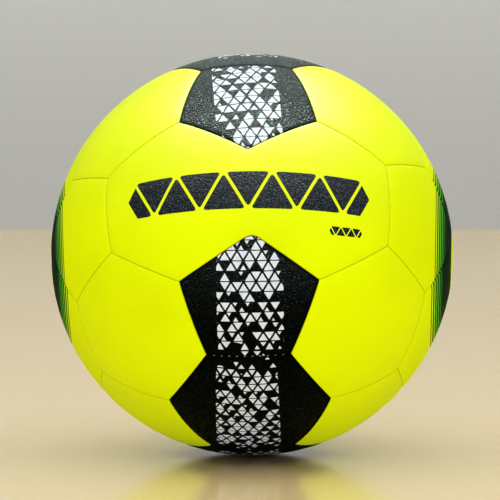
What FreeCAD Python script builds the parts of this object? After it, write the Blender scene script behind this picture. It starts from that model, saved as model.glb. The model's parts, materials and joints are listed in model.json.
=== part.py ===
"""A size 5 soccer ball: 26 stitched cover panels, each with its own cloth lining, around a rubber bladder.

Everything is in millimetres, with the origin at the ball's centre and +Z up. The panels are laid out on the
ball's own axes (front -Y, right +X, top +Z) and the whole ball is then set down in its standing attitude.
"""

import FreeCAD
import Part

import math
import os
from itertools import combinations

from FreeCAD import Rotation, Vector

# Ball and wall layers, from the outside in. Every layer is a part of a sphere about the origin.
BALL_RADIUS = 110.0
COVER_THICKNESS = 4.0
LINING_THICKNESS = 1.2
BLADDER_THICKNESS = 0.9
GLUE_GAP = 0.1
BLADDER_GAP = 0.2

# Seams: the covers nearly touch, and a turned-in lip below each edge leaves a channel for the thread.
SEAM_GAP = 0.3
EDGE_ROUND = 1.5
LIP_SETBACK = 0.55
LIP_WIDTH = 1.5
THREAD_RADIUS = 0.4
THREAD_END_CLEARANCE = 0.6

# Valve, on the centre of one rear panel.
PLUG_RADIUS = 3.0
PLUG_CLEARANCE = 0.05
PLUG_HEAD_RADIUS = 4.0
PLUG_HEAD_THICKNESS = 1.2
NEEDLE_RADIUS = 1.0
SLIT_WIDTH = 0.2
SLIT_LENGTH = 2.4
SLIT_DEPTH = 1.6
BOSS_RADIUS = 5.2
BOSS_LENGTH = 13.0
BOSS_RECESS = 0.5
BOSS_FLANGE_RADIUS = 14.0
BOSS_FLANGE_THICKNESS = 1.0
BOSS_CLEARANCE = 0.05
PANEL_HOLE_RADIUS = 5.6
VALVE_PATCH_RADIUS = 18.0
VALVE_PATCH_THICKNESS = 0.5
BALANCE_PATCH_RADIUS = 16.0
BALANCE_PATCH_THICKNESS = 1.5

# Standing attitude: the front leans back, and the ball is turned and rolled a little.
LEAN_DEG = -20.9
ROLL_DEG = -0.75
TURN_DEG = -0.85

# Where the sewing has drawn a seam corner off the regular layout: the corner lies by the first pentagon, towards
# the second, and the distances are on the ball's own axes.
CORNER_PULLS = {
    ("stripe_pentagon_front_lower", "stripe_pentagon_front_upper"): (1.8, 0.0, -1.0),
    ("stripe_pentagon_front_lower", "base_pentagon_left"): (-0.5, -2.4, 2.4),
    ("stripe_pentagon_front_lower", "base_pentagon_right"): (-1.3, -2.9, 2.3),
    ("stripe_pentagon_front_upper", "side_pentagon_left_front"): (0.0, -0.9, -2.1),
    ("stripe_pentagon_front_upper", "side_pentagon_right_front"): (0.0, -1.3, -2.6),
    ("stripe_pentagon_front_upper", "crown_pentagon_left"): (-3.4, 1.5, 1.0),
    ("stripe_pentagon_front_upper", "crown_pentagon_right"): (1.1, 1.5, 1.0),
    ("side_pentagon_left_front", "stripe_pentagon_front_upper"): (-2.6, 1.2, -4.9),
    ("side_pentagon_left_front", "stripe_pentagon_front_lower"): (0.0, 0.4, -1.6),
    ("side_pentagon_left_front", "base_pentagon_left"): (1.5, 0.0, -3.8),
    ("side_pentagon_left_front", "crown_pentagon_left"): (-1.5, -1.5, -8.0),
    ("side_pentagon_right_front", "base_pentagon_right"): (-1.8, -2.4, -1.7),
    ("side_pentagon_right_front", "crown_pentagon_right"): (0.8, -0.4, -2.8),
    ("base_pentagon_left", "stripe_pentagon_front_lower"): (1.0, -4.0, 1.5),
    ("base_pentagon_right", "stripe_pentagon_front_lower"): (-3.0, -5.0, 1.5),
    ("base_pentagon_right", "side_pentagon_right_front"): (-3.0, -4.0, -1.5),
}

# Working sizes for the cutting solids, well outside and inside the wall.
CUT_OUTER = 190.0
CUT_INNER = 70.0

GOLDEN = (1 + math.sqrt(5)) / 2
ORIGIN = Vector(0, 0, 0)

COVER_INNER = BALL_RADIUS - COVER_THICKNESS
LINING_OUTER = COVER_INNER - GLUE_GAP
LINING_INNER = LINING_OUTER - LINING_THICKNESS
BLADDER_OUTER = LINING_INNER - BLADDER_GAP
BLADDER_INNER = BLADDER_OUTER - BLADDER_THICKNESS
THREAD_PATH_RADIUS = (COVER_INNER + LINING_INNER) / 2


def unit(v):
    """v at length 1."""
    return Vector(v).normalize()


def side_word(value, low, high):
    """The word for the sign of a coordinate."""
    return low if value < 0 else high


def pentagon_centres():
    """{name: direction} of the twelve pentagons, which stand at the corners of an icosahedron."""
    found = {}
    for s in (-1, 1):
        for t in (-1, 1):
            front, upper = side_word(s, "front", "back"), side_word(t, "lower", "upper")
            found[f"stripe_pentagon_{front}_{upper}"] = Vector(0, s * GOLDEN, t)
            left, near = side_word(s, "left", "right"), side_word(t, "front", "back")
            found[f"side_pentagon_{left}_{near}"] = Vector(s * GOLDEN, t, 0)
            level, hand = side_word(t, "base", "crown"), side_word(s, "left", "right")
            found[f"{level}_pentagon_{hand}"] = Vector(s, 0, t * GOLDEN)
    return found


def touching(a, b):
    """Whether two icosahedron corners share an edge, which is 2 long."""
    return (a - b).Length < 2.1


def rounded(v):
    """A direction as a key that two panels share."""
    return tuple(round(c, 4) + 0.0 for c in v)


def corner_pulls(centres):
    """{key of a regular corner: how far it has been drawn off}."""
    return {rounded(unit(centres[a] * 2 + centres[b])): Vector(*pull) for (a, b), pull in CORNER_PULLS.items()}


PULLS = corner_pulls(pentagon_centres())


def seam_corner(a, b):
    """The seam corner nearer a on the edge from a to b, as a direction."""
    regular = unit(a * 2 + b)
    return unit(regular * BALL_RADIUS + PULLS.get(rounded(regular), ORIGIN))


def ordered(points, centre):
    """The points in turn about the centre, anticlockwise seen from outside."""
    axis = unit(centre)
    east = unit(axis.cross(points[0]))
    north = axis.cross(east)
    return sorted(points, key=lambda p: math.atan2(p.dot(north), p.dot(east)))


def pentagon_outlines(centres):
    """{name: (centre direction, corner directions)} of the pentagons."""
    outlines = {}
    for name, a in centres.items():
        corners = [seam_corner(a, b) for b in centres.values() if b != a and touching(a, b)]
        outlines[name] = (unit(a), ordered(corners, a))
    return outlines


def is_pair(a, b):
    """Whether an icosahedron edge is one of the six, at the cube's face centres, that carry no seam."""
    middle = unit(a + b)
    return max(abs(middle.x), abs(middle.y), abs(middle.z)) > 0.999


def hexagon_outlines(centres):
    """The eight single hexagons, and the six double panels, each two hexagons cut in one piece."""
    singles, halves = {}, {}
    for a, b, c in combinations(centres.values(), 3):
        if not (touching(a, b) and touching(b, c) and touching(c, a)):
            continue
        centre = a + b + c
        corners = [seam_corner(p, q) for p in (a, b, c) for q in (a, b, c) if p != q]
        pair = [(p, q) for p, q in ((a, b), (b, c), (c, a)) if is_pair(p, q)]
        if pair:
            halves.setdefault(double_name(pair[0][0] + pair[0][1]), []).append((corners, pair[0]))
        else:
            words = (
                side_word(centre.y, "front", "back"),
                side_word(centre.z, "lower", "upper"),
                side_word(centre.x, "left", "right"),
            )
            singles["hexagon_" + "_".join(words)] = (unit(centre), ordered(corners, centre))
    return singles, {name: double_outline(*two) for name, two in halves.items()}


def double_name(middle):
    """The name of the double panel at a cube's face centre."""
    words = ((middle.x, "left", "right"), (middle.y, "front", "back"), (middle.z, "bottom", "top"))
    value, low, high = max(words, key=lambda w: abs(w[0]))
    return "double_panel_" + side_word(value, low, high)


def double_outline(first, second):
    """The ten corners of two hexagons that share the seamless edge between a pair of pentagons."""
    (corners_1, (a, b)), (corners_2, _) = first, second
    corners = list(corners_1)
    for p in corners_2:
        if all((p - q).Length > 1e-6 for q in corners):
            corners.append(p)
    centre = unit(a + b)
    return centre, ordered(corners, centre)


def corner_points(corners, inset, radius):
    """Where the outline's inset side planes meet in pairs, at a radius from the origin."""
    count = len(corners)
    normals = [unit(corners[i].cross(corners[(i + 1) % count])) for i in range(count)]
    points = []
    for i in range(count):
        before, after = normals[i - 1], normals[i]
        foot = (before + after) * (inset / (1 + before.dot(after)))
        along = unit(before.cross(after))
        if along.dot(corners[i]) < 0:
            along = along * -1
        points.append(foot + along * math.sqrt(radius**2 - foot.Length**2))
    return points


def wedge(outline, inset):
    """The solid of all directions inside an outline, with its side planes inset by a distance."""
    centre, corners = outline
    outer = corner_points(corners, inset, CUT_OUTER)
    inner = corner_points(corners, inset, CUT_INNER)
    faces = []
    for i in range(len(corners)):
        j = (i + 1) % len(corners)
        faces.append(face(outer[i], outer[j], inner[j], inner[i]))
        faces.append(face(centre * CUT_OUTER, outer[i], outer[j]))
        faces.append(face(centre * CUT_INNER, inner[j], inner[i]))
    shell = Part.makeShell(faces)
    shell.sewShape()
    return Part.makeSolid(shell)


def face(*points):
    """A flat face through the points."""
    return Part.Face(Part.makePolygon([*points, points[0]]))


def layer(outer, inner, facing):
    """A whole spherical layer, turned so that its surfaces' own seam and poles stay clear of a direction."""
    shell = Part.makeSphere(outer).cut(Part.makeSphere(inner))
    shell.rotate(ORIGIN, *axis_and_angle(Rotation(Vector(-1, 0, 0), facing)))
    return shell


def rod(direction, radius, start, end):
    """A cylinder along a direction from the centre, between two distances from the centre."""
    return Part.makeCylinder(radius, end - start, direction * start, direction)


def disc(direction, radius, outer, inner):
    """A round patch of a spherical layer, centred on a direction."""
    return layer(outer, inner, direction).common(rod(direction, radius, CUT_INNER, CUT_OUTER))


def cover_panel(outline):
    """A cover panel: its padded wall with a rounded outer rim, and the turned-in lip under its edge."""
    facing = outline[0]
    wall = round_rim(layer(BALL_RADIUS, COVER_INNER, facing).common(wedge(outline, SEAM_GAP / 2)))
    lip = wedge(outline, LIP_SETBACK).cut(wedge(outline, LIP_SETBACK + LIP_WIDTH))
    lip = layer(COVER_INNER, LINING_INNER, facing).common(lip)
    return one_solid(wall.fuse(lip).removeSplitter())


def round_rim(wall):
    """The wall with its outer edge rounded."""
    def on_surface(edge):
        return all(abs(v.Point.Length - BALL_RADIUS) < 0.01 for v in edge.Vertexes)
    rim = [e for e in wall.Edges if on_surface(e)]
    return wall.makeFillet(EDGE_ROUND, rim)


def lining_panel(outline):
    """The cloth lining inside the lip of a cover panel."""
    inset = LIP_SETBACK + LIP_WIDTH + GLUE_GAP
    return one_solid(layer(LINING_OUTER, LINING_INNER, outline[0]).common(wedge(outline, inset)))


def one_solid(shape):
    """The shape as a single solid, with an error if it is anything else."""
    if len(shape.Solids) != 1 or not shape.isValid():
        raise ValueError(f"expected one valid solid, found {len(shape.Solids)}")
    return shape.Solids[0]


def seam_threads(outlines):
    """One straight-lying thread along each seam, in the channel between the lips of two panels."""
    seams = {}
    for _, corners in outlines.values():
        for i, a in enumerate(corners):
            b = corners[(i + 1) % len(corners)]
            key = frozenset((rounded(a), rounded(b)))
            seams[key] = (a, b)
    return Part.makeCompound([thread_along(a, b) for a, b in seams.values()])


def thread_along(a, b):
    """A round thread on the arc from a to b, short of both seam corners."""
    axis = unit(a.cross(b))
    back_off = math.degrees(THREAD_END_CLEARANCE / THREAD_PATH_RADIUS)
    sweep = math.degrees(a.getAngle(b)) - 2 * back_off
    start = Rotation(axis, back_off).multVec(a)
    centre = start * THREAD_PATH_RADIUS
    section = Part.Face(Part.Wire(Part.makeCircle(THREAD_RADIUS, centre, axis.cross(start))))
    return section.revolve(ORIGIN, axis, sweep).Solids[0]


def bladder(valve_at):
    """The air bladder, with the hole that the valve boss is bonded into."""
    hole = rod(valve_at, BOSS_RADIUS + BOSS_CLEARANCE, CUT_INNER, CUT_OUTER)
    return one_solid(layer(BLADDER_OUTER, BLADDER_INNER, valve_at).cut(hole))


def valve_boss(valve_at):
    """The moulded rubber valve housing: a stem through the wall, and a flange bonded inside the bladder."""
    top = BALL_RADIUS - BOSS_RECESS
    stem = rod(valve_at, BOSS_RADIUS, top - BOSS_LENGTH, top)
    flange_outer = BLADDER_INNER - GLUE_GAP
    flange = disc(valve_at, BOSS_FLANGE_RADIUS, flange_outer, flange_outer - BOSS_FLANGE_THICKNESS)
    bore = rod(valve_at, PLUG_RADIUS, CUT_INNER, CUT_OUTER)
    seat = rod(
        valve_at, PLUG_HEAD_RADIUS + PLUG_CLEARANCE, top - PLUG_HEAD_THICKNESS - PLUG_CLEARANCE, CUT_OUTER
    )
    return one_solid(stem.fuse(flange).cut(bore).cut(seat).removeSplitter())


def valve_plug(valve_at):
    """The pull-out valve core: a headed plug with a needle bore that ends in a slit."""
    top = BALL_RADIUS - BOSS_RECESS
    bottom = top - BOSS_LENGTH
    shank = rod(valve_at, PLUG_RADIUS - PLUG_CLEARANCE, bottom, top)
    head = rod(valve_at, PLUG_HEAD_RADIUS, top - PLUG_HEAD_THICKNESS, top)
    bore = rod(valve_at, NEEDLE_RADIUS, bottom + SLIT_DEPTH, CUT_OUTER)
    slit = Part.makeBox(SLIT_LENGTH, SLIT_WIDTH, 2 * SLIT_DEPTH + 1)
    slit.translate(Vector(-SLIT_LENGTH / 2, -SLIT_WIDTH / 2, -SLIT_DEPTH - 0.5))
    slit.rotate(ORIGIN, *axis_and_angle(Rotation(Vector(0, 0, 1), valve_at)))
    slit.translate(valve_at * bottom)
    return one_solid(shank.fuse(head).cut(bore).cut(slit).removeSplitter())


def axis_and_angle(rotation):
    """A rotation as the axis and degrees that Shape.rotate takes."""
    return rotation.Axis, math.degrees(rotation.Angle)


def build():
    """{node name: shape} of the whole ball, in its standing attitude."""
    centres = pentagon_centres()
    singles, doubles = hexagon_outlines(centres)
    outlines = {**pentagon_outlines(centres), **singles, **doubles}
    valve_panel = "hexagon_back_upper_left"
    valve_at = outlines[valve_panel][0]

    nodes = {}
    for name, outline in outlines.items():
        nodes[name] = cover_panel(outline)
        nodes["lining_" + name] = lining_panel(outline)

    wall_hole = rod(valve_at, PANEL_HOLE_RADIUS, CUT_INNER, CUT_OUTER)
    patch_outer = LINING_INNER + VALVE_PATCH_THICKNESS
    recess = disc(valve_at, VALVE_PATCH_RADIUS + GLUE_GAP, patch_outer + GLUE_GAP, LINING_INNER - GLUE_GAP)
    nodes[valve_panel] = one_solid(nodes[valve_panel].cut(wall_hole))
    lining = "lining_" + valve_panel
    nodes[lining] = one_solid(nodes[lining].cut(wall_hole).cut(recess))
    patch = disc(valve_at, VALVE_PATCH_RADIUS, patch_outer, LINING_INNER)
    nodes["valve_patch"] = one_solid(patch.cut(wall_hole))

    nodes["bladder"] = bladder(valve_at)
    nodes["valve_boss"] = valve_boss(valve_at)
    nodes["valve_plug"] = valve_plug(valve_at)
    balance_outer = BLADDER_INNER - GLUE_GAP
    nodes["balance_patch"] = one_solid(
        disc(valve_at * -1, BALANCE_PATCH_RADIUS, balance_outer, balance_outer - BALANCE_PATCH_THICKNESS)
    )
    nodes["seam_thread"] = seam_threads(outlines)
    return {name: stand(shape) for name, shape in nodes.items()}


def stand(shape):
    """The shape turned from the ball's own axes to its standing attitude."""
    turned = shape.copy()
    turned.rotate(ORIGIN, Vector(1, 0, 0), LEAN_DEG)
    turned.rotate(ORIGIN, Vector(0, 1, 0), ROLL_DEG)
    turned.rotate(ORIGIN, Vector(0, 0, 1), TURN_DEG)
    return turned


def main():
    os.makedirs("parts", exist_ok=True)
    for name, shape in build().items():
        shape.exportStep(f"parts/{name}.step")


main()
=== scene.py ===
import json
import math
from itertools import combinations

import bpy
import numpy as np
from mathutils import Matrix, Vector, noise

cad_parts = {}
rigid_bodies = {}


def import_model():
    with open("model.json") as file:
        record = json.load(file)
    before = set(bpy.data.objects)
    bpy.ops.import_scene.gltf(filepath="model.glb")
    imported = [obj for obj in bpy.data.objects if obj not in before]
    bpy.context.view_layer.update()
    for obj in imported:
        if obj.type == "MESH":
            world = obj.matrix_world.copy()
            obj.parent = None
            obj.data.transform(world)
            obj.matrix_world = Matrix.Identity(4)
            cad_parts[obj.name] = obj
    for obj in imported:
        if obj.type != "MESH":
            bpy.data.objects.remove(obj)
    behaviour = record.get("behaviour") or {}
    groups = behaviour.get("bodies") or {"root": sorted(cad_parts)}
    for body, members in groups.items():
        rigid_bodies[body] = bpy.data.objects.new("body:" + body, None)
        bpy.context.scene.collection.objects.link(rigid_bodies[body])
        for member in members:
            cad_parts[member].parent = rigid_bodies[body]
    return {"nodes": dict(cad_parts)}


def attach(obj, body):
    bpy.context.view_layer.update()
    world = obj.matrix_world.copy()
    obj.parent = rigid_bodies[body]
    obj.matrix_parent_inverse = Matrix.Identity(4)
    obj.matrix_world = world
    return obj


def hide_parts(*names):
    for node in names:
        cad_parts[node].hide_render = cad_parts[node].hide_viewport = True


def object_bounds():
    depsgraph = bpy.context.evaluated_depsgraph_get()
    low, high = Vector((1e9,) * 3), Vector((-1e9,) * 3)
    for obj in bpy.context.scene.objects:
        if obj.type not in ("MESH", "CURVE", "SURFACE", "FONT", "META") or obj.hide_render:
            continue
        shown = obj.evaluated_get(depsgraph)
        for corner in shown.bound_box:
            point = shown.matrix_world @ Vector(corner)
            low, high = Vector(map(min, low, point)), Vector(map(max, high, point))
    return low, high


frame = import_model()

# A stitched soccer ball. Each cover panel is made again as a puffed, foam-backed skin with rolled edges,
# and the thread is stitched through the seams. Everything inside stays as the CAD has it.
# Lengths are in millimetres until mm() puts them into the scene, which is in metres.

CAD_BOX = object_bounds()
MM_IN_METRE = 1000

# The ball, from the frame.
BALL_CENTRE = (CAD_BOX[0] + CAD_BOX[1]) / 2
BALL_RADIUS = round(max(CAD_BOX[1] - CAD_BOX[0]) / 2 * MM_IN_METRE, 1)
COVER_DEPTH = 3.95

# The ball's standing attitude, as in the CAD.
LEAN_DEG, ROLL_DEG, TURN_DEG = -20.9, -0.75, -0.85

# How far a seam corner lies off the regular layout, as in the CAD: the corner lies by the first pentagon,
# towards the second, and the distances are millimetres on the ball's own axes. A script measured them from
# the photo, and most were then rounded or trimmed. No such table should be here.
CORNER_PULLS = {
    ("stripe_pentagon_front_lower", "stripe_pentagon_front_upper"): (1.8, 0.0, -1.0),
    ("stripe_pentagon_front_lower", "base_pentagon_left"): (-0.5, -2.4, 2.4),
    ("stripe_pentagon_front_lower", "base_pentagon_right"): (-1.3, -2.9, 2.3),
    ("stripe_pentagon_front_upper", "side_pentagon_left_front"): (0.0, -0.9, -2.1),
    ("stripe_pentagon_front_upper", "side_pentagon_right_front"): (0.0, -1.3, -2.6),
    ("stripe_pentagon_front_upper", "crown_pentagon_left"): (-3.4, 1.5, 1.0),
    ("stripe_pentagon_front_upper", "crown_pentagon_right"): (1.1, 1.5, 1.0),
    ("side_pentagon_left_front", "stripe_pentagon_front_upper"): (-2.6, 1.2, -4.9),
    ("side_pentagon_left_front", "stripe_pentagon_front_lower"): (0.0, 0.4, -1.6),
    ("side_pentagon_left_front", "base_pentagon_left"): (1.5, 0.0, -3.8),
    ("side_pentagon_left_front", "crown_pentagon_left"): (-1.5, -1.5, -8.0),
    ("side_pentagon_right_front", "base_pentagon_right"): (-1.8, -2.4, -1.7),
    ("side_pentagon_right_front", "crown_pentagon_right"): (0.8, -0.4, -2.8),
    ("base_pentagon_left", "stripe_pentagon_front_lower"): (1.0, -4.0, 1.5),
    ("base_pentagon_right", "stripe_pentagon_front_lower"): (-3.0, -5.0, 1.5),
    ("base_pentagon_right", "side_pentagon_right_front"): (-3.0, -4.0, -1.5),
}

# Seams.
STITCHES_PER_SEAM = 11
SEAM_STEP = 1.0
LEAST_STEPS = 4
SEAM_HALF_GAP = 0.03
SHOULDER_WIDTH = 4.2
SHOULDER_DROP = 0.42
SHOULDER_POWER = 2.2
ROLL_RADIUS = 0.48
CORNER_SOFTNESS = 1.0
FAR_FROM_SEAM = 30.0
PUCKER_HEIGHT = 0.07
PUCKER_REACH = 2.2
BODY_WAVE = 0.12
BODY_WAVE_LENGTH = 55.0

# The one seam that has been pulled open a little, so that its thread shows.
OPEN_SEAM = ("stripe_pentagon_front_lower", "base_pentagon_left", "base_pentagon_right")
OPEN_SEAM_HALF_GAP = 0.3

# How far back from a pentagon's free apex its seam starts to bend round.
APEX_BEND = 2.0
APEX_BENDS = {"stripe_pentagon_front_lower": 5.0, "stripe_pentagon_front_upper": 0.8}

# Rings of a panel's mesh: distances from the seam, then a number of rings from there to the centre.
EDGE_RINGS = (0.0, 0.07, 0.18, 0.34, 0.55, 0.8, 1.15, 1.6, 2.15, 2.8, 3.6, 4.6, 5.9, 7.6)
INNER_RINGS = 9
WALL_DEPTHS = (2.2, 3.0)
LEAST_WALL_STEP = 0.05
BACK_RINGS = 3

VALVE_PANEL = "hexagon_back_upper_left"
VALVE_HOLE_RADIUS = 5.6
HOLE_RINGS = (0.0, 0.15, 0.4, 0.8, 1.4)
HOLE_ROLL = 0.6

GOLDEN = (1 + math.sqrt(5)) / 2


def mm(value):
    """Millimetres to the scene's metres."""
    return value / MM_IN_METRE


# ---------------------------------------------------------------- the layout of the panels


def unit(v):
    return v / np.linalg.norm(v)


def turned(degrees, axis):
    """The matrix of a turn about one of the axes x, y, z (0, 1, 2)."""
    c, s = math.cos(math.radians(degrees)), math.sin(math.radians(degrees))
    i, j = [k for k in range(3) if k != axis]
    if axis == 1:
        s = -s
    m = np.eye(3)
    m[i, i], m[i, j], m[j, i], m[j, j] = c, -s, s, c
    return m


STANDING = turned(TURN_DEG, 2) @ turned(ROLL_DEG, 1) @ turned(LEAN_DEG, 0)


def word(value, low, high):
    return low if value < 0 else high


def pentagon_centres():
    """{name: direction} of the twelve pentagons, which stand at the corners of an icosahedron."""
    found = {}
    for s in (-1, 1):
        for t in (-1, 1):
            front, upper = word(s, "front", "back"), word(t, "lower", "upper")
            found[f"stripe_pentagon_{front}_{upper}"] = np.array((0, s * GOLDEN, t))
            left, near = word(s, "left", "right"), word(t, "front", "back")
            found[f"side_pentagon_{left}_{near}"] = np.array((s * GOLDEN, t, 0))
            level, hand = word(t, "base", "crown"), word(s, "left", "right")
            found[f"{level}_pentagon_{hand}"] = np.array((s, 0, t * GOLDEN))
    return found


CENTRES = pentagon_centres()


def touching(a, b):
    """Whether two icosahedron corners share an edge, which is 2 long."""
    return 0.1 < np.linalg.norm(a - b) < 2.1


def is_pair(a, b):
    """Whether an icosahedron edge is one of the six that carry no seam."""
    return touching(a, b) and max(abs(unit(a + b))) > 0.999


def key(v):
    """A direction as a key that two panels share."""
    return tuple(np.round(v, 4) + 0.0)


def corner_pulls():
    """{key of a regular corner: how far it has been drawn off}."""
    return {key(unit(CENTRES[a] * 2 + CENTRES[b])): np.array(pull) for (a, b), pull in CORNER_PULLS.items()}


PULLS = corner_pulls()


def seam_corner(a, b):
    """The seam corner nearer a on the edge from a to b."""
    regular = unit(a * 2 + b)
    return unit(regular * BALL_RADIUS + PULLS.get(key(regular), 0.0))


def apex_bends():
    """{corner key: bend length} for the corners where only two panels meet."""
    bends = {}
    for name, a in CENTRES.items():
        for b in CENTRES.values():
            if is_pair(a, b):
                bends[key(seam_corner(a, b))] = APEX_BENDS.get(name, APEX_BEND)
    return bends


def ordered(points, centre):
    """The points in turn about the centre, anticlockwise seen from outside."""
    axis = unit(centre)
    east = unit(np.cross(axis, points[0]))
    north = np.cross(axis, east)
    return sorted(points, key=lambda p: math.atan2(p @ north, p @ east))


def outlines():
    """{panel name: (centre direction, corner directions)} of all 26 panels."""
    found, halves = {}, {}
    for name, a in CENTRES.items():
        corners = [seam_corner(a, b) for b in CENTRES.values() if touching(a, b)]
        found[name] = (unit(a), ordered(corners, a))
    for trio in combinations(CENTRES.values(), 3):
        if not all(touching(p, q) for p, q in combinations(trio, 2)):
            continue
        corners = [seam_corner(p, q) for p in trio for q in trio if p is not q]
        pairs = [p + q for p, q in combinations(trio, 2) if is_pair(p, q)]
        if pairs:
            halves.setdefault(double_name(pairs[0]), (pairs[0], []))[1].extend(corners)
        else:
            centre = sum(trio)
            found[hexagon_name(centre)] = (unit(centre), ordered(corners, centre))
    for name, (centre, corners) in halves.items():
        corners = list({key(p): p for p in corners}.values())
        found[name] = (unit(centre), ordered(corners, centre))
    return found


def hexagon_name(c):
    words = word(c[1], "front", "back"), word(c[2], "lower", "upper"), word(c[0], "left", "right")
    return "hexagon_" + "_".join(words)


def double_name(c):
    axis = int(np.argmax(np.abs(c)))
    low, high = (("left", "right"), ("front", "back"), ("bottom", "top"))[axis]
    return "double_panel_" + word(c[axis], low, high)


# ---------------------------------------------------------------- the seams


def arc_length(a, b):
    """How far apart two directions are on the ball."""
    return BALL_RADIUS * math.acos(np.clip(a @ b, -1, 1))


def great_circle(a, b, share):
    """Directions along the arc from a to b, at shares of its length."""
    angle = math.acos(np.clip(a @ b, -1, 1))
    share = np.asarray(share)[:, None]
    return (np.sin((1 - share) * angle) * a + np.sin(share * angle) * b) / math.sin(angle)


def is_open_seam(a, b):
    """Whether the seam from a to b is the one that has been pulled open."""
    near, *far = (CENTRES[name] for name in OPEN_SEAM)
    return {key(a), key(b)} == {key(seam_corner(near, c)) for c in far}


class Seam:
    """A panel's closed outline as points: for each its direction, its phase along the stitches, the stretch
    between hard corners that it is in, and how far open the seam is there."""

    def __init__(self, corners, bends):
        self.runs = []
        soft = [bends.get(key(c), 0.0) for c in corners]
        stretch = 0
        for i, a in enumerate(corners):
            b, c = (corners[(i + k) % len(corners)] for k in (1, 2))
            bend = soft[(i + 1) % len(corners)]
            self.add_side(a, b, soft[i], bend, stretch)
            if bend:
                self.add_bend(a, b, c, bend, stretch)
            else:
                stretch += 1
        points, self.phase, self.group, opening = (np.concatenate(column) for column in zip(*self.runs))
        if soft[0]:
            self.group[self.group == self.group[-1]] = self.group[0]
        self.points = np.array([unit(p) for p in points])
        self.half_gap = SEAM_HALF_GAP + OPEN_SEAM_HALF_GAP * opening

    def add_side(self, a, b, bend_at_a, bend_at_b, stretch):
        """The points from corner a to corner b, less the bends that they may have."""
        length = arc_length(a, b)
        start, end = bend_at_a / length, 1 - bend_at_b / length
        steps = max(LEAST_STEPS, round((end - start) * length / SEAM_STEP))
        share = start + (end - start) * np.arange(steps) / steps
        opening = is_open_seam(a, b) * np.sin(math.pi * share)
        self.runs.append((great_circle(a, b, share), share, np.full(steps, stretch), opening))

    def add_bend(self, a, b, c, bend, stretch):
        """The points round the soft corner b, on the way from a to c."""
        share = bend / arc_length(a, b)
        before = great_circle(a, b, [1 - share])[0]
        after = great_circle(b, c, [share])[0]
        steps = max(LEAST_STEPS, round(2 * bend / SEAM_STEP))
        points = bent(before, b, after, steps)
        self.runs.append((points, np.ones(steps), np.full(steps, stretch), np.zeros(steps)))

    def inward(self):
        """The surface direction into the panel at each point."""
        along = np.roll(self.points, -1, axis=0) - np.roll(self.points, 1, axis=0)
        into = np.cross(self.points, along)
        return into / np.linalg.norm(into, axis=1)[:, None]


def bent(before, corner, after, steps):
    """Points round a soft corner, without its last."""
    t = (np.arange(steps) / steps)[:, None]
    return (1 - t) ** 2 * before + 2 * t * (1 - t) * corner + t**2 * after


def seam_distance(directions, seam):
    """Each direction's distance from the seam, the same softened at hard corners, and the stitches' phase."""
    p = directions * BALL_RADIUS
    a = seam.points * BALL_RADIUS
    ab = np.roll(a, -1, axis=0) - a
    length2 = (ab**2).sum(1)
    t = np.clip((p @ ab.T - (a * ab).sum(1)) / length2, 0, 1)
    p2, a2 = (p**2).sum(1)[:, None], (a**2).sum(1)
    pa = p @ a.T
    square = p2 - 2 * pa + a2 - 2 * t * (p @ ab.T - (a * ab).sum(1)) + t**2 * length2
    gap = np.sqrt(np.maximum(square, 0))
    nearest = gap.argmin(1)
    stretches = [gap[:, seam.group == g].min(1) for g in np.unique(seam.group)]
    total = sum(np.exp(-stretch / CORNER_SOFTNESS) for stretch in stretches)
    least = math.exp(-FAR_FROM_SEAM / CORNER_SOFTNESS)
    soft = -CORNER_SOFTNESS * np.log(np.maximum(total, least))
    return gap.min(1), soft, seam.phase[nearest]


# ---------------------------------------------------------------- a cover panel's mesh


def surface_height(gap, soft, phase):
    """How far the skin stands out from the ball's radius, with its shoulder, rolled edge and puckers."""
    shoulder = np.maximum(1 - soft / SHOULDER_WIDTH, 0) ** SHOULDER_POWER
    rolled = np.clip(ROLL_RADIUS - gap, 0, ROLL_RADIUS)
    roll = ROLL_RADIUS - np.sqrt(ROLL_RADIUS**2 - rolled**2)
    pucker = np.cos(2 * math.pi * STITCHES_PER_SEAM * phase) * np.exp(-gap / PUCKER_REACH)
    return -SHOULDER_DROP * shoulder - roll - PUCKER_HEIGHT * pucker


def body_wave(directions):
    """The slow unevenness of an inflated ball."""
    scale = BALL_RADIUS / BODY_WAVE_LENGTH
    return BODY_WAVE * np.array([noise.noise(Vector(d * scale)) for d in directions])


def flat_basis(centre):
    """The right and up directions of a panel's own flat pattern."""
    up = np.array((0.0, 0.0, 1.0)) if abs(centre[2]) < 0.9 else np.array((0.0, 1.0, 0.0))
    right = unit(np.cross(up, centre))
    return right, np.cross(centre, right)


def flat_pattern(directions, centre):
    """Each direction's place on the panel as it was cut from the flat, in millimetres."""
    right, up = flat_basis(centre)
    angle = np.arccos(np.clip(directions @ centre, -1, 1))
    x, y = directions @ right, directions @ up
    scale = BALL_RADIUS * angle / np.maximum(np.hypot(x, y), 1e-9)
    return np.stack([x * scale, y * scale], 1)


def spread(inner, outer, share):
    """Directions part of the way from the inner ring to the outer."""
    v = inner * (1 - share[:, None]) + outer * share[:, None]
    return v / np.linalg.norm(v, axis=1)[:, None]


def hole_ring(seam, centre, radius):
    """Directions round a hole in the panel's centre, one for each point of its seam."""
    flat = flat_pattern(seam.points, centre)
    flat /= np.linalg.norm(flat, axis=1)[:, None]
    right, up = flat_basis(centre)
    angle = math.asin(radius / BALL_RADIUS)
    return centre * math.cos(angle) + (flat[:, :1] * right + flat[:, 1:] * up) * math.sin(angle)


def skin_shares(rim, core, hole):
    """Where the skin's rings lie, as shares of the way from the core to the rim."""
    reach = BALL_RADIUS * np.arccos(np.clip((rim * core).sum(1), -1, 1))
    last = 1 - EDGE_RINGS[-1] / reach
    shares = [d / reach for d in HOLE_RINGS] if hole else []
    shares += [last * k / INNER_RINGS for k in range(1, INNER_RINGS)]
    return shares + [1 - d / reach for d in reversed(EDGE_RINGS)]


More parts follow.
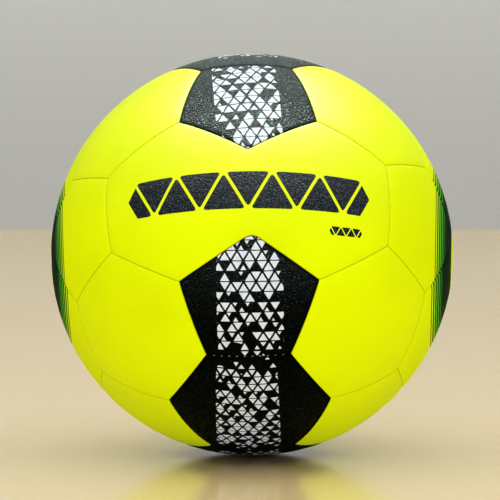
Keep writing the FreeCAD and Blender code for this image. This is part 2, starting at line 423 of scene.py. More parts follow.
def panel_rings(seam, centre, hole):
    """The panel as a stack of rings of points, from the centre out over the skin, down the edge and back."""
    rim = seam.points + seam.inward() * (seam.half_gap / BALL_RADIUS)[:, None]
    rim /= np.linalg.norm(rim, axis=1)[:, None]
    core = hole_ring(seam, centre, VALVE_HOLE_RADIUS) if hole else np.tile(centre, (len(rim), 1))
    rings = []
    for share in skin_shares(rim, core, hole):
        directions = spread(core, rim, share)
        gap, soft, phase = seam_distance(directions, seam)
        height = surface_height(gap, soft, phase) + body_wave(directions)
        rings.append((directions, BALL_RADIUS + height, gap))
    if hole:
        rings = roll_into_hole(rings, core)
    edge = rings[-1]
    for depth in (*WALL_DEPTHS, COVER_DEPTH):
        radius = np.minimum(BALL_RADIUS - depth, edge[1] - LEAST_WALL_STEP)
        rings.append((rim, radius, np.zeros(len(rim))))
    for k in range(1, BACK_RINGS + (1 if hole else 0)):
        share = np.full(len(rim), 1 - k / BACK_RINGS)
        rings.append((spread(core, rim, share), np.full(len(rim), BALL_RADIUS - COVER_DEPTH), edge[2]))
    return rings


def roll_into_hole(rings, core):
    """The skin's rings with the ones beside the hole rolled down into it."""
    rolled = []
    for directions, radius, gap in rings:
        out = BALL_RADIUS * np.arccos(np.clip((directions * core).sum(1), -1, 1))
        short = np.clip(HOLE_ROLL - out, 0, HOLE_ROLL)
        drop = HOLE_ROLL - np.sqrt(HOLE_ROLL**2 - short**2)
        rolled.append((directions, radius - drop, gap))
    return rolled


def ring_faces(rings, columns, closed):
    """Quads between neighbouring rings of points; a closed stack also joins its last ring to its first."""
    faces = []
    for r in range(rings if closed else rings - 1):
        low, high = r * columns, (r + 1) % rings * columns
        for i in range(columns):
            j = (i + 1) % columns
            faces.append((low + i, high + i, high + j, low + j))
    return faces


def cap_faces(centre, start, columns, flip):
    """Triangles between a ring and the point in its middle."""
    faces = []
    for i in range(columns):
        j = (i + 1) % columns
        a, b = (start + j, start + i) if flip else (start + i, start + j)
        faces.append((centre, a, b))
    return faces


def build_panel(name, centre, corners, bends):
    """A cover panel as one closed mesh, with its flat pattern and its distances as attributes."""
    seam = Seam(corners, bends)
    hole = name == VALVE_PANEL
    rings = panel_rings(seam, centre, hole)
    columns = len(seam.points)
    directions = np.concatenate([r[0] for r in rings])
    radius = np.concatenate([r[1] for r in rings])
    gap = np.concatenate([r[2] for r in rings])
    faces = ring_faces(len(rings), columns, hole)
    if not hole:
        count = len(directions)
        directions = np.vstack([directions, centre, centre])
        radius = np.append(radius, [BALL_RADIUS + body_wave([centre])[0], BALL_RADIUS - COVER_DEPTH])
        gap = np.append(gap, [FAR_FROM_SEAM, FAR_FROM_SEAM])
        faces += cap_faces(count, 0, columns, False)
        faces += cap_faces(count + 1, count - columns, columns, True)
    points = (directions * radius[:, None]) @ STANDING.T
    piece = mesh_object("cover_" + name, points, faces)
    flat = flat_pattern(directions, centre)
    add_pattern(piece, flat)
    add_attribute(piece, "seam_mm", gap)
    add_attribute(piece, "side_mm", side_distance(directions))
    add_attribute(piece, "print_density", print_density(name, flat))
    return piece


# The middle of the right side's print. The left side's is its mirror image.
RING_CENTRE = unit(np.array((1.0, -0.04, -0.045)))


def side_distance(directions):
    """Each direction's distance from the middle of the nearer side print."""
    mirrored = directions.copy()
    mirrored[:, 0] = np.abs(directions[:, 0])
    return BALL_RADIUS * np.arccos(np.clip(mirrored @ RING_CENTRE, -1, 1))


def mesh_object(name, points_mm, faces):
    """A smooth-shaded object from points in millimetres about the ball's centre."""
    mesh = bpy.data.meshes.new(name)
    points = mm(np.asarray(points_mm)) + np.array(BALL_CENTRE)
    mesh.from_pydata(points.tolist(), [], faces)
    mesh.shade_smooth()
    mesh.update()
    piece = bpy.data.objects.new(name, mesh)
    bpy.context.scene.collection.objects.link(piece)
    return piece


PATTERN_SIZE = 200.0


def add_pattern(piece, flat):
    """The flat pattern as the mesh's UV map, with PATTERN_SIZE millimetres across the square."""
    uv = piece.data.uv_layers.new(name="pattern")
    corners = np.empty(len(piece.data.loops), dtype=np.int32)
    piece.data.loops.foreach_get("vertex_index", corners)
    uv.data.foreach_set("uv", (flat[corners] / PATTERN_SIZE + 0.5).ravel())


def add_attribute(piece, name, values):
    data = piece.data.attributes.new(name, "FLOAT", "POINT")
    data.data.foreach_set("value", np.asarray(values, dtype=np.float32))


# How a stripe panel's print thins out: the flat pattern's heights where it ends, and over what length.
PENTAGON_PRINT_ENDS = {"upper": 34.5, "lower": 27.5}
DOUBLE_PRINT_START = 4.5
DOUBLE_PRINT_ENDS = {"top": 60.0, "bottom": 81.0}
PRINT_THINS_OVER = 7.5


def print_density(name, flat):
    """1 where a stripe panel's print is dense, falling to 0 at the print's end and below 0 past it."""
    end = name.split("_")[-1]
    if name.startswith("stripe_pentagon"):
        left = PENTAGON_PRINT_ENDS[end] - (flat[:, 1] if end == "upper" else -flat[:, 1])
    else:
        height = np.abs(flat[:, 1])
        left = np.minimum(height - DOUBLE_PRINT_START, DOUBLE_PRINT_ENDS.get(end, 0) - height)
    return np.clip(left / PRINT_THINS_OVER, -1, 1)


# ---------------------------------------------------------------- the thread


THREAD_RADIUS = 0.24
THREAD_TOP = 1.75
THREAD_TOP_IN_VIEW = 0.42
THREAD_BOTTOM = 4.6
THREAD_SIDES = 5
THREAD_POINTS_PER_STITCH = 6
THREAD_END = 0.02
THREAD_ROUNDING = 0.6
THREAD_COLOUR = (0.55, 0.57, 0.53, 1.0)
THREAD_SHADE = (0.22, 0.23, 0.21, 1.0)


def seam_edges(panels):
    """The two ends of each of the 84 seams."""
    found = {}
    for _, corners in panels.values():
        for i, a in enumerate(corners):
            b = corners[(i + 1) % len(corners)]
            found[frozenset((key(a), key(b)))] = (a, b)
    return found.values()


def thread_path(a, b, top):
    """A lock stitch's wave in the plane of a seam, between the skin's edge and the thread's bed below."""
    count = STITCHES_PER_SEAM * THREAD_POINTS_PER_STITCH
    share = THREAD_END + (1 - 2 * THREAD_END) * np.arange(count + 1) / count
    wave = 0.5 + 0.5 * np.cos(2 * math.pi * STITCHES_PER_SEAM * share)
    depth = THREAD_BOTTOM + (top - THREAD_BOTTOM) * wave**THREAD_ROUNDING
    return great_circle(a, b, share) * (BALL_RADIUS - depth)[:, None]


def tube(path, radius, sides):
    """Points and faces of a closed round tube along a path."""
    along = np.gradient(path, axis=0)
    along /= np.linalg.norm(along, axis=1)[:, None]
    out = path / np.linalg.norm(path, axis=1)[:, None]
    across = np.cross(along, out)
    across /= np.linalg.norm(across, axis=1)[:, None]
    up = np.cross(across, along)
    angle = 2 * math.pi * np.arange(sides) / sides
    ring = across[:, None] * np.cos(angle)[:, None] + up[:, None] * np.sin(angle)[:, None]
    points = (path[:, None] + ring * radius).reshape(-1, 3)
    faces = [tuple(reversed(f)) for f in ring_faces(len(path), sides, False)]
    faces.append(tuple(range(sides)))
    last = (len(path) - 1) * sides
    faces.append(tuple(reversed(range(last, last + sides))))
    return points, faces


def build_thread(panels):
    """All the stitches, as one object."""
    points, faces, used = [], [], 0
    for a, b in seam_edges(panels):
        top = THREAD_TOP_IN_VIEW if is_open_seam(a, b) else THREAD_TOP
        some, quads = tube(thread_path(a, b, top), THREAD_RADIUS, THREAD_SIDES)
        points.append(some)
        faces += [tuple(used + v for v in f) for f in quads]
        used += len(some)
    return mesh_object("stitching", np.concatenate(points) @ STANDING.T, faces)


# ---------------------------------------------------------------- materials


class Nodes:
    """A small helper that builds a material's nodes."""

    def __init__(self, name):
        self.material = bpy.data.materials.new(name)
        self.material.use_nodes = True
        self.tree = self.material.node_tree
        self.shader = self.tree.nodes["Principled BSDF"]

    def put(self, socket, value):
        if isinstance(value, bpy.types.NodeSocket):
            self.tree.links.new(value, socket)
        else:
            socket.default_value = value

    def add(self, kind, inputs=None, **settings):
        node = self.tree.nodes.new("ShaderNode" + kind)
        for name, value in settings.items():
            setattr(node, name, value)
        for name, value in (inputs or {}).items():
            self.put(node.inputs[name], value)
        return node

    def math(self, operation, *values, clamp=False):
        node = self.add("Math", operation=operation, use_clamp=clamp)
        for socket, value in zip(node.inputs, values):
            self.put(socket, value)
        return node.outputs[0]

    def scaled(self, value, by, plus, clamp=False):
        return self.math("MULTIPLY_ADD", value, by, plus, clamp=clamp)

    def times(self, a, b):
        return self.math("MULTIPLY", a, b)

    def less(self, a, b):
        return self.math("SUBTRACT", a, b)

    def ramp(self, value, low, high):
        """0 below low, 1 above high, smooth between."""
        node = self.add("MapRange", {"Value": value, "From Min": low, "From Max": high})
        node.interpolation_type = "SMOOTHSTEP"
        return node.outputs["Result"]

    def mix(self, share, a, b):
        node = self.add("Mix", data_type="RGBA")
        self.put(node.inputs["Factor"], share)
        self.put(node.inputs["A"], a)
        self.put(node.inputs["B"], b)
        return node.outputs["Result"]

    def place(self):
        return self.add("TexCoord").outputs["Object"]

    def attribute(self, name):
        return self.add("Attribute", attribute_name=name).outputs["Fac"]

    def noise(self, scale, detail=2.0):
        node = self.add("TexNoise", {"Vector": self.place(), "Scale": scale, "Detail": detail})
        return node.outputs["Fac"]

    def cells(self, scale, feature):
        node = self.add("TexVoronoi", {"Vector": self.place(), "Scale": scale}, feature=feature)
        return node.outputs["Distance"]

    def bump(self, height, strength, distance):
        node = self.add("Bump", {"Height": height, "Strength": strength, "Distance": distance})
        return node.outputs["Normal"]

    def set(self, **values):
        for name, value in values.items():
            self.put(self.shader.inputs[name.replace("_", " ")], value)


def colour(r, g, b):
    return (r, g, b, 1.0)


def per_metre(size):
    """How many features of a size in millimetres lie in a metre, which is a texture's scale."""
    return MM_IN_METRE / size


YELLOW = colour(0.74, 0.87, 0.0)
YELLOW_DEEP = colour(0.69, 0.81, 0.0)
# The painted shade in the seams' grooves on yellow.
YELLOW_SEAM_SHADE = colour(0.55, 0.65, 0.0)
BLACK = colour(0.0012, 0.0017, 0.0014)
BLACK_SCUFF = colour(0.0028, 0.0038, 0.0033)
BLACK_GLINT = colour(0.013, 0.018, 0.016)
WHITE_INK = colour(0.86, 0.92, 1.0)
SLATE_INK = colour(0.010, 0.015, 0.018)
# A painted glint on the front ornament's slate ink.
SLATE_GLINT = colour(0.055, 0.074, 0.086)
RING_GREEN = colour(0.11, 0.50, 0.03)
RING_DEEP = colour(0.001, 0.045, 0.009)
RING_LINE = colour(0.0005, 0.013, 0.004)

# The seam's painted shade: full up to the first distance from the seam, gone at the second.
SEAM_SHADE_REACH = (0.05, 0.5)

# The grain, by the size of its pebbles, and its bump.
YELLOW_GRAIN = 1.05
YELLOW_GRAIN_STRENGTH = 0.22
YELLOW_GRAIN_DEPTH = 0.22
PRINTED_GRAIN_STRENGTH = 0.24
BLACK_GRAIN = 0.8
BLACK_GRAIN_STRENGTH = 1.0
BLACK_GRAIN_DEPTH = 1.0
FINE_GRAIN_RATIO = 2.2
FINE_GRAIN_SHARE = 0.8

# How much the covers, the rubber and the cloth mirror, and how rough the covers are.
YELLOW_SPECULAR = 0.038
YELLOW_ROUGHNESS = 0.5
RINGED_SPECULAR = 0.02
RINGED_ROUGHNESS = 0.56
BLACK_SPECULAR = 0.035
BLACK_ROUGHNESS = 0.42
BLACK_TINT = colour(0.80, 1.0, 0.90)
RUBBER_SPECULAR = 0.05
CLOTH_SPECULAR = 0.05

# The shiny tops of the black pebbles stay this far from a seam, and the skin is this much rougher at it.
GLINT_SIZE = 1.0
BLACK_SEAM_EDGE = (0.2, 2.4)
BLACK_SEAM_ROUGHER = 0.52


def grain(n, size):
    """The pebble grain of the synthetic leather: rounded cells, broken up by a finer noise."""
    pebbles = n.cells(per_metre(size), "SMOOTH_F1")
    fine = n.noise(FINE_GRAIN_RATIO * per_metre(size), detail=3.0)
    return n.less(n.times(fine, FINE_GRAIN_SHARE), pebbles)


def skin(n, base, seam_shade, size, strength, depth):
    """The parts that all covers share: base colour with painted shade at the seam, and the grain's bump."""
    # Next to the seam the colour turns to the painted seam shade.
    in_seam_shade = n.less(1.0, n.ramp(n.attribute("seam_mm"), *SEAM_SHADE_REACH))
    n.set(Base_Color=n.mix(in_seam_shade, base, seam_shade))
    height = grain(n, size)
    n.set(Normal=n.bump(height, strength, depth))
    return height


def yellow_base(n):
    """Neon yellow with slow, faint changes of depth."""
    cloud = n.noise(scale=16.0, detail=3.0)
    return n.mix(n.ramp(cloud, low=0.35, high=0.7), YELLOW, YELLOW_DEEP)


def yellow_cover(name):
    n = Nodes(name)
    depth = mm(YELLOW_GRAIN_DEPTH)
    height = skin(n, yellow_base(n), YELLOW_SEAM_SHADE, YELLOW_GRAIN, YELLOW_GRAIN_STRENGTH, depth)
    n.set(Roughness=n.scaled(height, by=0.08, plus=YELLOW_ROUGHNESS))
    n.set(Specular_IOR_Level=YELLOW_SPECULAR)
    return n.material


# The prints' triangles. A corner's softness is in rows; the other lengths are in millimetres.
TRIANGLE_CORNER = 0.13
INK_EDGE = 0.12


def triangle_sheet(n, x, y, side, row, level_stretch=1.0):
    """A sheet of triangles between three families of lines: how far inside its triangle a point is, in rows,
    and the point's count along each family."""
    v = n.math("DIVIDE", y, row)
    u = n.math("DIVIDE", x, side)
    counts = (v, n.scaled(v, by=0.5, plus=u), n.scaled(v, by=-0.5, plus=u))
    level, rising, falling = [n.math("PINGPONG", count, 0.5) for count in counts]
    slanted = n.math("SMOOTH_MIN", rising, falling, TRIANGLE_CORNER)
    return n.math("SMOOTH_MIN", n.times(level, level_stretch), slanted, TRIANGLE_CORNER), counts


def flat_place(n, turn_deg, shift):
    """The flat pattern's x and y in millimetres, turned and shifted as the print is."""
    uv = n.add("UVMap", uv_map="pattern").outputs["UV"]
    mapping = n.add("Mapping", {"Vector": uv}, vector_type="POINT")
    turn = math.radians(turn_deg)
    c, s = math.cos(turn), math.sin(turn)
    half = PATTERN_SIZE / 2
    mapping.inputs["Scale"].default_value = (PATTERN_SIZE, PATTERN_SIZE, 1)
    mapping.inputs["Rotation"].default_value = (0, 0, turn)
    mapping.inputs["Location"].default_value = (shift[0] - half * (c - s), shift[1] - half * (s + c), 0)
    split = n.add("SeparateXYZ", {"Vector": mapping.outputs["Vector"]})
    return split.outputs["X"], split.outputs["Y"]


# The stripe's print: a band of white triangles, of which some are left out, some cut and some smaller.
BAND_HALF_WIDTH = 17.1
BAND_CORNER = 0.5
TRIANGLE_GAP = 0.95
LEVEL_GAP = 0.55
CUT_SHARE = 0.16
CUT_RISING = 0.66
CUT_FALLING = 0.6
SMALLER_SHARE = 0.14
SMALLER_BY = 0.6
THINNEST_BY = 0.55
SHOWN_SHARE = 0.3
SHOWN_SHARE_WHEN_DENSE = 0.48


def triangle_chances(n, counts, seed):
    """Random numbers for each triangle: one that says if it shows, one if it is cut, one if it is smaller."""
    index = n.add("CombineXYZ")
    for socket, count in zip(index.inputs, counts):
        n.put(socket, n.math("FLOOR", count))
    random = n.add("TexWhiteNoise", {"Vector": index.outputs[0], "W": seed}, noise_dimensions="4D")
    parts = n.add("SeparateColor", {"Color": random.outputs["Color"]})
    return random.outputs["Value"], parts.outputs["Green"], parts.outputs["Blue"]


def points_down(n, counts):
    """1 in the triangles that point down and 0 in the others."""
    level, rising, falling = [n.math("FLOOR", count) for count in counts]
    return n.less(n.less(rising, falling), level)


def band_mask(n, turn_deg, shift, size, favour_down, seed):
    """The white triangles of the stripe. A positive favour_down keeps more of those that point down."""
    side, row = size
    x, y = flat_place(n, turn_deg, shift)
    inside, counts = triangle_sheet(n, x, y, side, row, TRIANGLE_GAP / LEVEL_GAP)
    shows, is_cut, is_small = triangle_chances(n, counts, seed)
    uncut = n.math("LESS_THAN", is_cut, 1 - CUT_SHARE)
    for count, share in ((counts[1], CUT_RISING), (counts[2], CUT_FALLING)):
        corner = n.math("ADD", n.less(share, n.math("FRACT", count)), uncut)
        inside = n.math("MINIMUM", inside, corner)
    small = n.ramp(is_small, 1 - SMALLER_SHARE, 1.0)
    inside = n.scaled(small, by=-SMALLER_BY / row, plus=inside)
    inside = n.scaled(inside, by=row, plus=-TRIANGLE_GAP / 2)
    edge = n.less(BAND_HALF_WIDTH, n.math("ABSOLUTE", x))
    inside = n.math("SMOOTH_MIN", inside, edge, BAND_CORNER)
    density = n.attribute("print_density")
    kept = n.scaled(points_down(n, counts), by=favour_down, plus=SHOWN_SHARE - favour_down / 2)
    kept = n.scaled(density, by=SHOWN_SHARE_WHEN_DENSE, plus=kept)
    thinner = n.times(n.less(1.0, density), THINNEST_BY)
    ink = n.ramp(n.less(inside, thinner), -INK_EDGE, INK_EDGE)
    return n.times(ink, n.math("LESS_THAN", shows, kept))


def glints(n):
    """The shiny tops of the pebbles: 1 on them, 0 between."""
    return n.ramp(n.noise(per_metre(GLINT_SIZE), detail=1.0), low=0.53, high=0.67)


def black_cover(name, turn_deg, shift, size, favour_down, seed):
    """Black cover material with the band of triangles, which is turned, shifted and sized for its panel."""
    n = Nodes(name)
    ink = band_mask(n, turn_deg, shift, size, favour_down, seed)
    away_from_seam = n.ramp(n.attribute("seam_mm"), *BLACK_SEAM_EDGE)
    glint = n.times(glints(n), n.times(n.less(1.0, ink), away_from_seam))
    cloud = n.ramp(n.noise(scale=40.0, detail=4.0), low=0.4, high=0.75)
    base = n.mix(glint, n.mix(cloud, BLACK, BLACK_SCUFF), BLACK_GLINT)
    base = n.mix(ink, base, WHITE_INK)
    # The seam's painted shade is plain black, which covers the print there.
    height = skin(n, base, BLACK, BLACK_GRAIN, BLACK_GRAIN_STRENGTH, mm(BLACK_GRAIN_DEPTH))
    roughness = n.scaled(ink, by=0.12, plus=BLACK_ROUGHNESS + BLACK_SEAM_ROUGHER)
    roughness = n.scaled(height, by=0.16, plus=roughness)
    n.set(Roughness=n.scaled(away_from_seam, by=-BLACK_SEAM_ROUGHER, plus=roughness, clamp=True))
    n.set(Metallic=glint)
    n.set(Specular_IOR_Level=BLACK_SPECULAR)
    n.set(Specular_Tint=BLACK_TINT)
    return n.material


# The front ornament: a row of large triangles and, under its right end, a row of small ones.
ORNAMENT_SIDE = 25.0
ORNAMENT_BASE = -11.5
ORNAMENT_HALF_LENGTH = 66.0
ORNAMENT_GAP = 1.6
NOTE_SIDE = 6.0
NOTE_BASE = -23.0
NOTE_CENTRE = 52.0
NOTE_HALF_LENGTH = 9.5
NOTE_GAP = 0.6
INK_GRAIN_STRENGTH = 0.25
INK_GRAIN_DEPTH = 0.4


def triangle_row(n, side, base, centre, half_length, gap):
    """One row of triangles pointing up and down by turns, with both ends cut to a point."""
    x, y = flat_place(n, 0.0, (-centre, -base))
    row = side * math.sqrt(3) / 2
    inside, _ = triangle_sheet(n, x, y, side, row)
    in_row = n.times(n.math("GREATER_THAN", y, 0.0), n.math("LESS_THAN", y, row))
    from_middle = n.math("ABSOLUTE", n.less(y, row / 2))
    reach = n.scaled(from_middle, by=-1 / math.sqrt(3), plus=half_length)
    in_length = n.math("LESS_THAN", n.math("ABSOLUTE", x), reach)
    ink = n.ramp(n.scaled(inside, by=row, plus=-gap / 2), -INK_EDGE, INK_EDGE)
    return n.times(ink, n.times(in_row, in_length))


def front_cover(name):
    n = Nodes(name)
    large = triangle_row(n, ORNAMENT_SIDE, ORNAMENT_BASE, 0.0, ORNAMENT_HALF_LENGTH, ORNAMENT_GAP)
    small = triangle_row(n, NOTE_SIDE, NOTE_BASE, NOTE_CENTRE, NOTE_HALF_LENGTH, NOTE_GAP)
    ink = n.math("MAXIMUM", large, small)
    strength = n.scaled(ink, by=INK_GRAIN_STRENGTH, plus=PRINTED_GRAIN_STRENGTH)
    depth = n.scaled(ink, by=mm(INK_GRAIN_DEPTH), plus=mm(YELLOW_GRAIN_DEPTH))
    # The slate ink is painted lighter on the pebbles' tops: painted glints.
    slate = n.mix(glints(n), SLATE_INK, SLATE_GLINT)
    height = skin(n, n.mix(ink, yellow_base(n), slate), YELLOW_SEAM_SHADE, YELLOW_GRAIN, strength, depth)
    n.set(Roughness=n.scaled(height, by=0.1, plus=YELLOW_ROUGHNESS))
    n.set(Specular_IOR_Level=YELLOW_SPECULAR)
    return n.material


# The side print: rings about a point near each side's pole, that thicken inwards to a dark disc with a bare
# middle. Lengths are distances from its middle.
RINGS_START = 45.0
RINGS_SOLID = 22.0
RINGS_END = 10.0
RING_PITCH = 2.8
RING_WIDTH = 0.42
RING_GROWTH = 0.3
RING_EDGE = 0.06
RING_GREEN_GROWS = (-0.15, 0.3)
RING_DEEP_GROWS = (0.35, 0.9)


def ringed_cover(name, shift):
    """Yellow cover material with the rings, which a panel's own print has shifted in or out."""
    n = Nodes(name)
    out = n.math("ADD", n.attribute("side_mm"), shift)
    grow = n.less(1.0, n.ramp(out, RINGS_SOLID, RINGS_START))
    wave = n.times(n.math("PINGPONG", out, RING_PITCH / 2), 2 / RING_PITCH)
    width = n.scaled(grow, by=RING_GROWTH, plus=RING_WIDTH)
    printed = n.times(n.math("LESS_THAN", out, RINGS_START), n.math("GREATER_THAN", out, RINGS_END))
    lines = n.times(n.ramp(n.less(width, wave), -RING_EDGE, RING_EDGE), printed)
    green = n.times(n.ramp(grow, *RING_GREEN_GROWS), printed)
    deep = n.times(n.ramp(grow, *RING_DEEP_GROWS), printed)
    base = n.mix(deep, n.mix(green, yellow_base(n), RING_GREEN), RING_DEEP)
    # The seam's painted shade: the yellow shade on bare yellow, the ring lines' dark on the green print.
    seam_shade = n.mix(green, YELLOW_SEAM_SHADE, RING_LINE)
    base = n.mix(lines, base, RING_LINE)
    height = skin(n, base, seam_shade, YELLOW_GRAIN, PRINTED_GRAIN_STRENGTH, mm(YELLOW_GRAIN_DEPTH))
    n.set(Roughness=n.scaled(height, by=0.1, plus=RINGED_ROUGHNESS))
    n.set(Specular_IOR_Level=RINGED_SPECULAR)
    return n.material


# Cloth. A wave texture runs through this many radians for each unit of its scale.
WAVE_RADIANS = 20
WEAVE_WANDER = 1.5
WEAVE_BLOTCHES = 0.7


def cloth(name, base, shade, weave_step):
    """Ribbed cloth, for the linings and the valve's patch. Its step is in millimetres for each radian."""
    n = Nodes(name)
    scale = per_metre(weave_step)
    ribs = {"Vector": n.place(), "Scale": scale / WAVE_RADIANS, "Distortion": WEAVE_WANDER}
    weave = n.add("TexWave", ribs)
    threads = n.times(weave.outputs["Fac"], n.noise(WEAVE_BLOTCHES * scale))
    n.set(Base_Color=n.mix(threads, shade, base))
    n.set(Normal=n.bump(threads, strength=0.6, distance=mm(0.15)))
    n.set(Roughness=0.9)
    n.set(Specular_IOR_Level=CLOTH_SPECULAR)
    n.set(Sheen_Weight=0.3)
    return n.material


def rubber(name, base, bloom, roughness):
    """Moulded rubber with a little bloom and a fine tooth."""
    n = Nodes(name)
    cloud = n.ramp(n.noise(scale=220.0, detail=4.0), low=0.35, high=0.8)
    n.set(Base_Color=n.mix(cloud, base, bloom))
    n.set(Roughness=n.scaled(cloud, by=0.15, plus=roughness))
    n.set(Specular_IOR_Level=RUBBER_SPECULAR)
    n.set(Normal=n.bump(n.noise(scale=2600.0), strength=0.35, distance=mm(0.05)))
    return n.material


def waxed_thread(name):
    n = Nodes(name)
    fibres = n.noise(scale=5200.0, detail=3.0)
    n.set(Base_Color=n.mix(fibres, THREAD_SHADE, THREAD_COLOUR))
    n.set(Normal=n.bump(fibres, strength=0.5, distance=mm(0.08)))
    n.set(Roughness=0.6)
    return n.material


# ---------------------------------------------------------------- the pieces put together


def cover_materials():
    """{words a panel's name starts with: its material}, the most particular first."""
    stripe_size = (6.4, 5.3)
    return {
        "stripe_pentagon_front_upper": black_cover(
            "black_cover_upper", turn_deg=-4.0, shift=(0.8, 1.5), size=(6.65, 5.9), favour_down=-0.16, seed=5
        ),
        "stripe_pentagon": black_cover(
            "black_cover_pentagon", turn_deg=0.0, shift=(-0.4, 3.1), size=stripe_size, favour_down=0.2, seed=2
        ),
        "double_panel_top": black_cover(
            "black_cover_top", turn_deg=0.0, shift=(0.6, 0.8), size=stripe_size, favour_down=0.0, seed=3
        ),
        "double_panel_bottom": black_cover(
            "black_cover_bottom", turn_deg=180.0, shift=(2.2, 2.2), size=(5.9, 4.9), favour_down=0.1, seed=4
        ),
        "double_panel_front": front_cover("yellow_cover_front"),
        "double_panel_left": ringed_cover("yellow_cover_left_double", shift=-1.5),
        "double_panel_right": ringed_cover("yellow_cover_right_double", shift=-5.5),
        "side_pentagon_left": ringed_cover("yellow_cover_left", shift=1.5),
        "side_pentagon_right": ringed_cover("yellow_cover_right", shift=-2.0),
        "": yellow_cover("yellow_cover"),
    }


def finish_covers(panels):
    """All the cover panels, each standing for its CAD node."""
    materials = cover_materials()
    bends = apex_bends()
    for name, (centre, corners) in panels.items():
        piece = build_panel(name, centre, corners, bends)
        piece.data.materials.append(next(m for start, m in materials.items() if name.startswith(start)))
        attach(piece, "ball")
        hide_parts(name)


def finish_thread(panels):
    piece = build_thread(panels)
    piece.data.materials.append(waxed_thread("waxed_thread"))
    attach(piece, "ball")
    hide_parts("seam_thread")


def finish_cad_nodes():
    """Materials for the CAD nodes that stay as they are."""
    lining = cloth("lining_cloth", colour(0.72, 0.70, 0.64), colour(0.5, 0.48, 0.43), weave_step=0.5)
    patch = cloth("patch_cloth", colour(0.62, 0.60, 0.52), colour(0.4, 0.38, 0.33), weave_step=0.7)
    bladder = rubber("bladder_rubber", colour(0.02, 0.02, 0.02), colour(0.05, 0.05, 0.05), roughness=0.6)
    valve = rubber("valve_rubber", colour(0.012, 0.012, 0.013), colour(0.03, 0.03, 0.032), roughness=0.42)
    chosen = {"bladder": bladder, "balance_patch": bladder, "valve_boss": valve, "valve_plug": valve}
    chosen["valve_patch"] = patch
    for name, node in frame["nodes"].items():
        material = chosen.get(name, lining if name.startswith("lining_") else None)
        if material:
            node.data.materials.clear()
            node.data.materials.append(material)


# ---------------------------------------------------------------- floor, light and camera


FLOOR_COLOUR = colour(0.82, 0.64, 0.35)
WALL_FOOT_COLOUR = colour(0.54, 0.53, 0.50)
WALL_COLOUR = colour(0.73, 0.74, 0.71)
FLOOR_ROUGHNESS = 0.16
WALL_ROUGHNESS = 0.55
STAGE_SPECULAR = 0.45
FLOOR_RADIUS = 2600.0
FLOOR_RINGS = 8
COVE_RADIUS = 900.0
COVE_STEPS = 12
WALL_HEIGHT = 2200.0
WALL_STARTS_OVER = 13.0
WALL_PALES_OVER = 600.0
STAGE_SIDES = 96


def stage_profile():
    """The backdrop's section, as (distance, height) from the ball: a flat floor, a round cove and a wall."""
    bottom = -BALL_RADIUS
    profile = [(FLOOR_RADIUS * k / FLOOR_RINGS, bottom) for k in range(1, FLOOR_RINGS + 1)]
    for k in range(1, COVE_STEPS + 1):
        a = math.pi / 2 * k / COVE_STEPS
        profile.append((FLOOR_RADIUS + COVE_RADIUS * math.sin(a), bottom + COVE_RADIUS * (1 - math.cos(a))))
    profile.append((FLOOR_RADIUS + COVE_RADIUS, bottom + WALL_HEIGHT))
    return profile


def stage_material():
    """Pale floor below a grey wall."""
    n = Nodes("backdrop")
    bottom = BALL_CENTRE.z - mm(BALL_RADIUS)
    height = n.add("SeparateXYZ", {"Vector": n.place()}).outputs["Z"]
    on_wall = n.ramp(height, bottom, bottom + mm(WALL_STARTS_OVER))
    wall = n.mix(n.ramp(height, bottom, bottom + mm(WALL_PALES_OVER)), WALL_FOOT_COLOUR, WALL_COLOUR)
    n.set(Base_Color=n.mix(on_wall, FLOOR_COLOUR, wall))
    n.set(Roughness=n.scaled(on_wall, by=WALL_ROUGHNESS - FLOOR_ROUGHNESS, plus=FLOOR_ROUGHNESS))
    n.set(Specular_IOR_Level=STAGE_SPECULAR)
    return n.material


def build_stage():
    """A round floor that sweeps up into a wall all the way round."""
    profile = stage_profile()
    turns = [2 * math.pi * i / STAGE_SIDES for i in range(STAGE_SIDES)]
    points = [(out * math.cos(a), out * math.sin(a), height) for out, height in profile for a in turns]
    faces = ring_faces(len(profile), STAGE_SIDES, False)
    faces.append(tuple(range(STAGE_SIDES)))
    backdrop = mesh_object("backdrop", points, faces)
    backdrop.data.materials.append(stage_material())
    return backdrop


# The lamps' places and sizes are in metres and their powers in watts. The floor's glow lies this many
# millimetres above the floor.
FLOOR_GLOW_HEIGHT = 5.0
WORLD_COLOUR = colour(0.97, 0.985, 1.0)
WORLD_STRENGTH = 0.97
FILL_COLOUR = (0.82, 0.87, 1.0)


def area_light(name, place, size, power, tint=(1, 1, 1), aim=None, diffuse=True, glossy=True, only_on=None):
    """A round soft lamp at a place about the ball's centre, aimed at the ball or along a given direction."""
    light = bpy.data.lights.new(name, "AREA")
    light.shape = "DISK"
    light.size = size
    light.energy = power
    light.color = tint
    lamp = bpy.data.objects.new(name, light)
    lamp.location = BALL_CENTRE + Vector(place)
    lamp.rotation_mode = "QUATERNION"
    lamp.rotation_quaternion = Vector(aim or [-c for c in place]).to_track_quat("-Z", "Y")
    lamp.visible_camera = False
    lamp.visible_diffuse = diffuse
    lamp.visible_glossy = glossy
    lamp.light_linking.receiver_collection = only_on
    bpy.context.scene.collection.objects.link(lamp)


def ball_collection(backdrop):
    """All the ball's pieces, for the lamps that leave the backdrop alone."""
    ball = bpy.data.collections.new("ball_pieces")
    for thing in bpy.context.scene.objects:
        if thing.type == "MESH" and thing != backdrop:
            ball.objects.link(thing)
    return ball


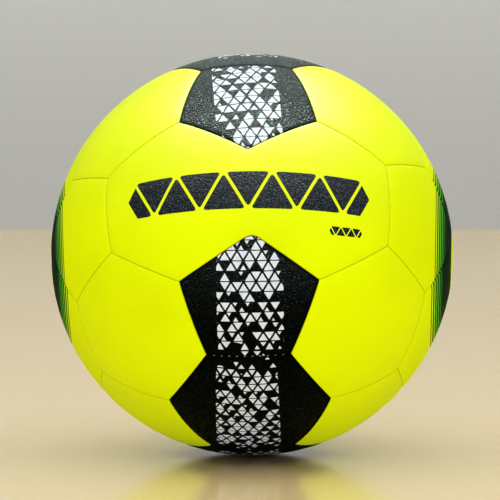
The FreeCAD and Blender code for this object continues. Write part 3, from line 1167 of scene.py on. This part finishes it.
def build_lights(ball):
    """Soft light from above, its gloss, a fill from the front and the floor's glow on the ball from below."""
    area_light("overhead", (0.1, -0.25, 1.5), size=2.2, power=7.5, glossy=False)
    area_light("overhead_gloss", (0.05, 0.1, 1.5), size=1.7, power=520.0, diffuse=False, only_on=ball)
    soft = dict(tint=FILL_COLOUR, glossy=False, only_on=ball)
    area_light("front_fill", (0.15, -2.3, -0.04), size=1.0, power=25.8, **soft)
    under = (0, 0, mm(FLOOR_GLOW_HEIGHT - BALL_RADIUS))
    area_light("floor_glow", under, size=1.4, power=1.03, aim=(0, 0, 1), **soft)


def build_world():
    """An even, slightly cool light from all round, which doesn't show as a reflection."""
    world = bpy.data.worlds.new("world")
    world.use_nodes = True
    world.node_tree.nodes["Background"].inputs["Color"].default_value = WORLD_COLOUR
    world.node_tree.nodes["Background"].inputs["Strength"].default_value = WORLD_STRENGTH
    bpy.context.scene.world = world
    world.cycles_visibility.glossy = False


# The camera: how many ball radii away it stands, how high it looks from, and the ball's share of the picture.
CAMERA_RADII = 13.0
CAMERA_ELEVATION_DEG = 3.0
BALL_SHARE_OF_PICTURE = 0.804
PICTURE_SHIFT = (-0.004, 0.0092)
SENSOR_WIDTH = 36.0


def build_camera():
    camera = bpy.data.cameras.new("camera")
    view_radius = math.asin(1 / CAMERA_RADII)
    camera.sensor_width = SENSOR_WIDTH
    camera.lens = BALL_SHARE_OF_PICTURE / 2 * SENSOR_WIDTH / math.tan(view_radius)
    camera.shift_x, camera.shift_y = PICTURE_SHIFT
    eye = bpy.data.objects.new("camera", camera)
    e = math.radians(CAMERA_ELEVATION_DEG)
    back = Vector((0, -math.cos(e), math.sin(e)))
    eye.location = BALL_CENTRE + back * mm(BALL_RADIUS) * CAMERA_RADII
    eye.rotation_mode = "QUATERNION"
    eye.rotation_quaternion = (-back).to_track_quat("-Z", "Y")
    bpy.context.scene.collection.objects.link(eye)
    bpy.context.scene.camera = eye
    bpy.context.scene.view_settings.view_transform = "Standard"
    bpy.context.scene.view_settings.look = "Medium High Contrast"


panels = outlines()
finish_covers(panels)
finish_thread(panels)
finish_cad_nodes()
build_lights(ball_collection(build_stage()))
build_world()
build_camera()
